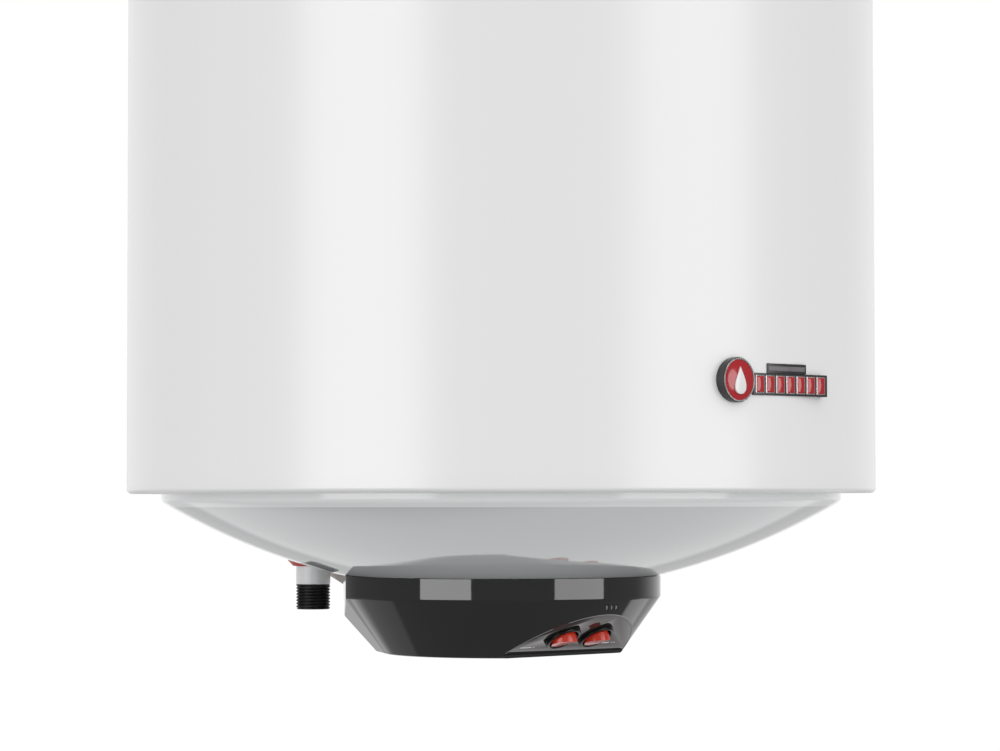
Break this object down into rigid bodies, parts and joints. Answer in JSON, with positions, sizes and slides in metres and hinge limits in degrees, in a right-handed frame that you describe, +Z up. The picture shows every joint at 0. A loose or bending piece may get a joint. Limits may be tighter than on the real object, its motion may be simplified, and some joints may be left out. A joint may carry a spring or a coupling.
{
  "type": "storage water heater",
  "caption": "Round wall-hung electric storage water heater with a domed base pan, dark control cover, rocker switches and threaded water pipes.",
  "frame": {"origin": "centre of the upper wall bracket's back face, on the wall plane", "axes": "+Y into the wall, +Z up along the tank, +X to the right as seen from the front"},
  "size_m": [0.45, 0.4664, 0.7579],
  "materials": {
    "casing_enamel": "gloss",
    "pan_paint": "gloss",
    "bracket_paint": "satin",
    "foam": "matte",
    "tank_enamel": "gloss",
    "zinc_steel": "satin",
    "copper_sheath": "satin",
    "magnesium": "matte",
    "gasket_rubber": "matte",
    "cover_plastic": "gloss",
    "fascia_plastic": "gloss",
    "black_plastic": "satin",
    "rocker_red": "gloss",
    "button_red": "gloss",
    "lens_clear": "gloss",
    "collar_red": "satin",
    "collar_blue": "satin",
    "pale_plastic": "satin",
    "badge_red": "gloss",
    "board_green": "satin",
    "lead_insulation": "satin"
  },
  "bodies": {
    "heater": {"anode_rod": "magnesium", "anode_stud": "zinc_steel", "badge_bar": "badge_red", "badge_disc": "badge_red", "badge_strip": "badge_red", "bottom_pan": "pan_paint", "cable_gland": "pale_plastic", "cold_collar": "collar_blue", "cold_diffuser": "pale_plastic", "cold_inlet_pipe": "zinc_steel", "control_cover": "cover_plastic", "cover_post_1": "zinc_steel", "cover_post_2": "zinc_steel", "cover_screw_1": "zinc_steel", "cover_screw_2": "zinc_steel", "flange_bolt_1": "zinc_steel", "flange_bolt_2": "zinc_steel", "flange_bolt_3": "zinc_steel", "flange_bolt_4": "zinc_steel", "flange_bolt_5": "zinc_steel", "flange_bolt_6": "zinc_steel", "flange_gasket": "gasket_rubber", "flange_plate": "zinc_steel", "heating_element_1": "copper_sheath", "heating_element_2": "copper_sheath", "hot_collar": "collar_red", "hot_draw_tube": "pale_plastic", "hot_outlet_pipe": "zinc_steel", "indicator_board": "board_green", "indicator_lens_1": "lens_clear", "indicator_lens_2": "lens_clear", "indicator_lens_3": "lens_clear", "inner_tank": "tank_enamel", "insulation_foam": "foam", "lower_bracket_bolt_left": "zinc_steel", "lower_bracket_bolt_right": "zinc_steel", "lower_wall_bracket": "bracket_paint", "neutral_lead": "lead_insulation", "outer_casing": "casing_enamel", "supply_lead": "lead_insulation", "switch_fascia": "fascia_plastic", "switch_housing_1": "black_plastic", "switch_housing_2": "black_plastic", "switch_lead_1": "lead_insulation", "switch_lead_2": "lead_insulation", "tank_flange_ring": "zinc_steel", "terminal_block": "pale_plastic", "thermostat_body": "black_plastic", "thermostat_probe": "zinc_steel", "thermowell": "zinc_steel", "top_cap": "casing_enamel", "upper_bracket_bolt_left": "zinc_steel", "upper_bracket_bolt_right": "zinc_steel", "upper_wall_bracket": "bracket_paint"},
    "rocker_1": {"switch_rocker_1": "rocker_red"},
    "rocker_2": {"switch_rocker_2": "rocker_red"},
    "thermostat_control": {"thermostat_knob": "black_plastic", "thermostat_spindle": "pale_plastic"},
    "reset": {"reset_button": "button_red"}
  },
  "joints": [
    {"name": "rocker_1_tilt", "type": "hinge", "parent": "heater", "child": "rocker_1", "pos_m": [-0.0163, -0.3083, -0.57488], "axis": [1, 0, 0], "range_deg": [-38, 0]},
    {"name": "rocker_2_tilt", "type": "hinge", "parent": "heater", "child": "rocker_2", "pos_m": [0.0111, -0.3083, -0.57488], "axis": [1, 0, 0], "range_deg": [-38, 0]},
    {"name": "thermostat_turn", "type": "hinge", "parent": "heater", "child": "thermostat_control", "pos_m": [0, -0.239, -0.583], "axis": [0, 0, 1], "range_deg": [0, 270]},
    {"name": "reset_press", "type": "slide", "parent": "heater", "child": "reset", "axis": [0, 0, 1], "range_m": [0, 0.002], "stiffness_N_per_m": 300, "springref_m": -0.001}
  ]
}
